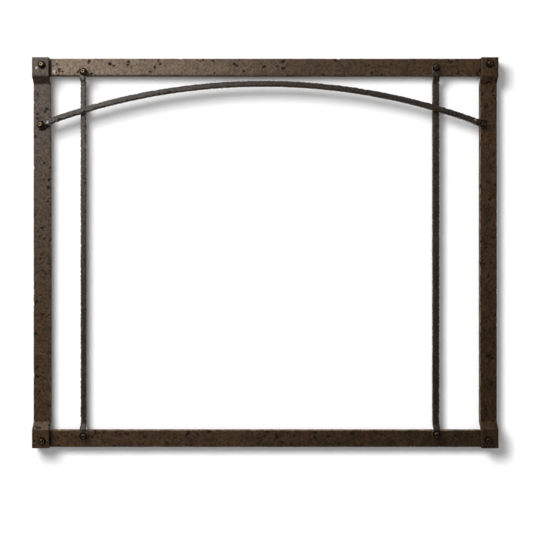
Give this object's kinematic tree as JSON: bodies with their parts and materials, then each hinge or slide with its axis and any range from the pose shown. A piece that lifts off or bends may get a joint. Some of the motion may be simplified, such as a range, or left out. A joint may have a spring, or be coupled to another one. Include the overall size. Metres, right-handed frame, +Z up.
{
  "type": "fireplace screen",
  "caption": "Open rectangular fireplace screen frame in forged steel bar, with two slim uprights and a shallow arched bar screwed across the top.",
  "frame": {"origin": "centre of the bottom edge: middle of the width, middle of the overall depth, lowest point of the bottom rail", "axes": "+X to the right as seen from the room, +Y back towards the fireplace, +Z up"},
  "size_m": [0.978, 0.0212, 0.82],
  "materials": {
    "bronzed_flat_bar": "hammered steel with a rubbed dark-bronze patina, sealed",
    "bronzed_slim_bar": "hammered steel with a charcoal-bronze patina, sealed",
    "aged_brass": "aged brass, browned in the recesses",
    "blackened_steel": "blackened steel"
  },
  "bodies": {
    "root": {"left_stile": "bronzed_flat_bar", "right_stile": "bronzed_flat_bar", "top_rail": "bronzed_flat_bar", "bottom_rail": "bronzed_flat_bar", "left_upright": "bronzed_slim_bar", "right_upright": "bronzed_slim_bar", "arch_bar": "bronzed_slim_bar", "washer_top_left_corner": "blackened_steel", "washer_top_right_corner": "blackened_steel", "washer_bottom_left_corner": "blackened_steel", "washer_bottom_right_corner": "blackened_steel", "washer_left_upright_top": "blackened_steel", "washer_left_upright_bottom": "blackened_steel", "washer_right_upright_top": "blackened_steel", "washer_right_upright_bottom": "blackened_steel", "washer_arch_left": "blackened_steel", "washer_arch_right": "blackened_steel", "screw_top_left_corner": "aged_brass", "screw_top_right_corner": "aged_brass", "screw_bottom_left_corner": "aged_brass", "screw_bottom_right_corner": "aged_brass", "screw_left_upright_top": "aged_brass", "screw_left_upright_bottom": "aged_brass", "screw_right_upright_top": "aged_brass", "screw_right_upright_bottom": "aged_brass", "screw_arch_left": "aged_brass", "screw_arch_right": "aged_brass"}
  },
  "joints": []
}
